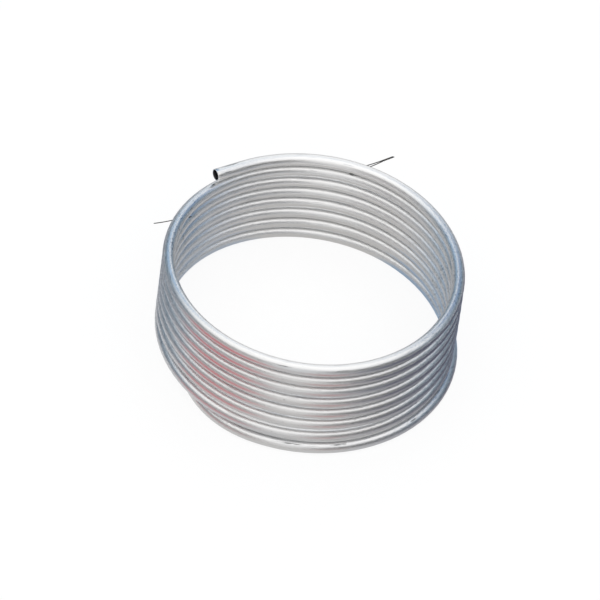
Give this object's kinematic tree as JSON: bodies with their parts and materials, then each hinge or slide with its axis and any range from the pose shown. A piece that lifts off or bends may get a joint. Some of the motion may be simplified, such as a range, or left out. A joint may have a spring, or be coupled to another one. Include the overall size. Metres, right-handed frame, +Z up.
{
  "type": "aluminium tube coil",
  "caption": "Upright helical coil of soft bare aluminium tube with open straight ends and short tie-wire tails at its back; stock tube to be uncoiled, cut and bent.",
  "frame": {"origin": "on the floor that the lowest turn rests on, under the middle of the box round the coil and its wires; the coil's axis stands close to it", "axes": "+Z up the coil's axis; -Y towards the viewer of the picture, the front of the coil; +X to the viewer's right. The turns climb counter-clockwise seen from above"},
  "size_m": [0.3333, 0.3459, 0.1216],
  "materials": {
    "bare_aluminium": "satin, drawn, with fine handling scratches",
    "annealed_wire": "dark annealed, dull"
  },
  "bodies": {
    "root": {"tube_coil": "bare_aluminium", "tie_wire_left": "annealed_wire", "tie_wire_right": "annealed_wire"}
  },
  "joints": []
}
